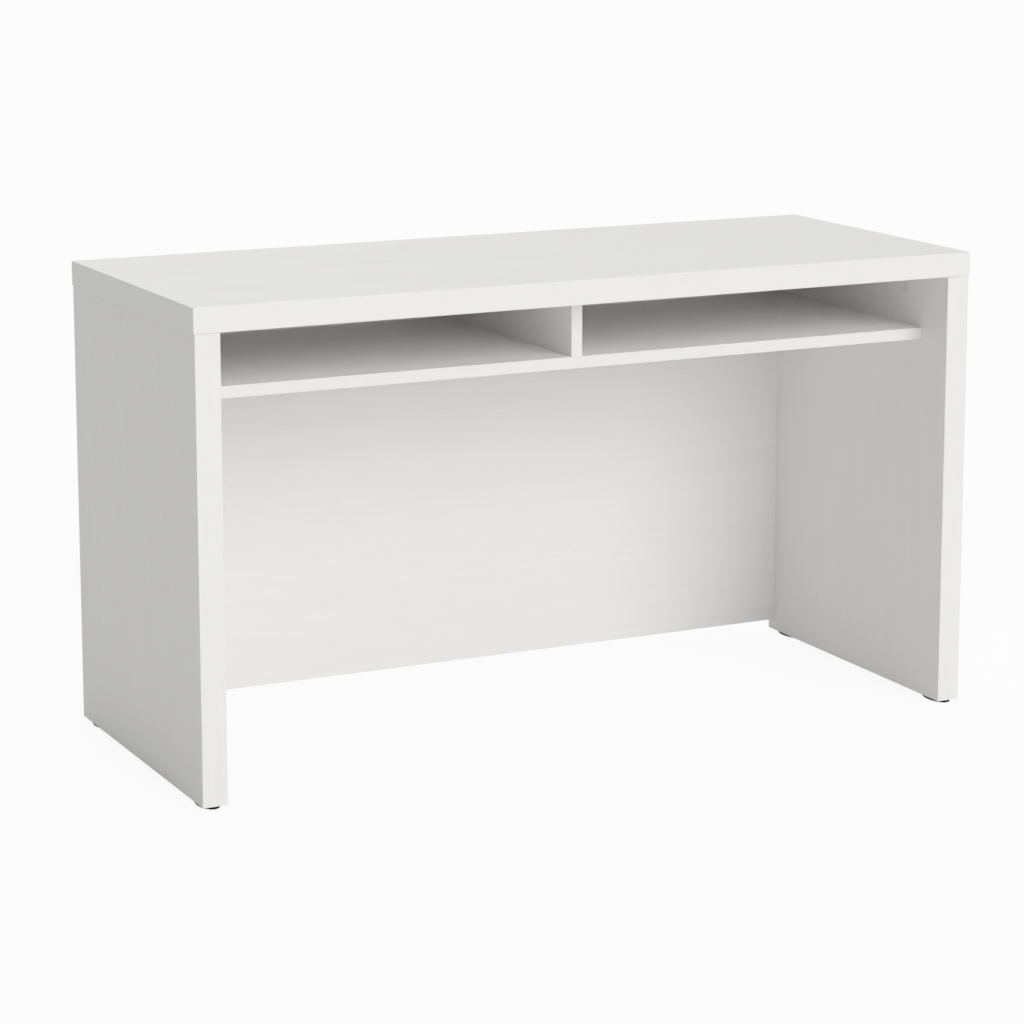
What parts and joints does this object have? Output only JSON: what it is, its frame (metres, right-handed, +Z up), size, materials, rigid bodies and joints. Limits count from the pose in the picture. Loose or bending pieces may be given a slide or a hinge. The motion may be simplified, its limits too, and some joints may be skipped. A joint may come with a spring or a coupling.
{
  "type": "console table",
  "caption": "Desk-height slab table: a thick top on two full-depth end panels, closed at the back, with a divided open shelf hung under the top.",
  "frame": {"origin": "middle of the footprint, on the floor under the glides", "axes": "+X to the right of a person sitting at the table, along its width; -Y towards that person, out of the open front; +Z up"},
  "size_m": [1.35, 0.55, 0.76],
  "materials": {
    "laminated_skin": "satin",
    "laminated_board": "satin",
    "edge_band": "satin",
    "frame_wood": "matte",
    "core_paper": "matte",
    "zinc": "satin",
    "steel": "satin",
    "beech": "matte",
    "cap_plastic": "satin",
    "glide_plastic": "matte"
  },
  "bodies": {
    "root": {"top_upper_skin": "laminated_skin", "top_lower_skin": "laminated_skin", "top_front_rail": "frame_wood", "top_back_rail": "frame_wood", "top_left_rail": "frame_wood", "top_right_rail": "frame_wood", "top_centre_rail": "frame_wood", "top_core_left": "core_paper", "top_core_right": "core_paper", "top_front_band": "edge_band", "top_back_band": "edge_band", "top_left_band": "edge_band", "top_right_band": "edge_band", "left_outer_skin": "laminated_skin", "left_inner_skin": "laminated_skin", "left_front_stile": "frame_wood", "left_back_stile": "frame_wood", "left_top_rail": "frame_wood", "left_shelf_rail": "frame_wood", "left_bottom_rail": "frame_wood", "left_core": "core_paper", "left_front_band": "edge_band", "left_back_band": "edge_band", "left_bottom_band": "edge_band", "right_outer_skin": "laminated_skin", "right_inner_skin": "laminated_skin", "right_front_stile": "frame_wood", "right_back_stile": "frame_wood", "right_top_rail": "frame_wood", "right_shelf_rail": "frame_wood", "right_bottom_rail": "frame_wood", "right_core": "core_paper", "right_front_band": "edge_band", "right_back_band": "edge_band", "right_bottom_band": "edge_band", "back_panel": "laminated_board", "back_panel_band": "edge_band", "shelf": "laminated_board", "shelf_band": "edge_band", "divider": "laminated_board", "divider_band": "edge_band", "cam_nuts": "zinc", "cam_bolts": "steel", "cam_caps": "cap_plastic", "dowels": "beech", "panel_screws": "steel", "screw_caps": "cap_plastic", "front_left_glide": "glide_plastic", "front_right_glide": "glide_plastic", "back_left_glide": "glide_plastic", "back_right_glide": "glide_plastic"}
  },
  "joints": []
}
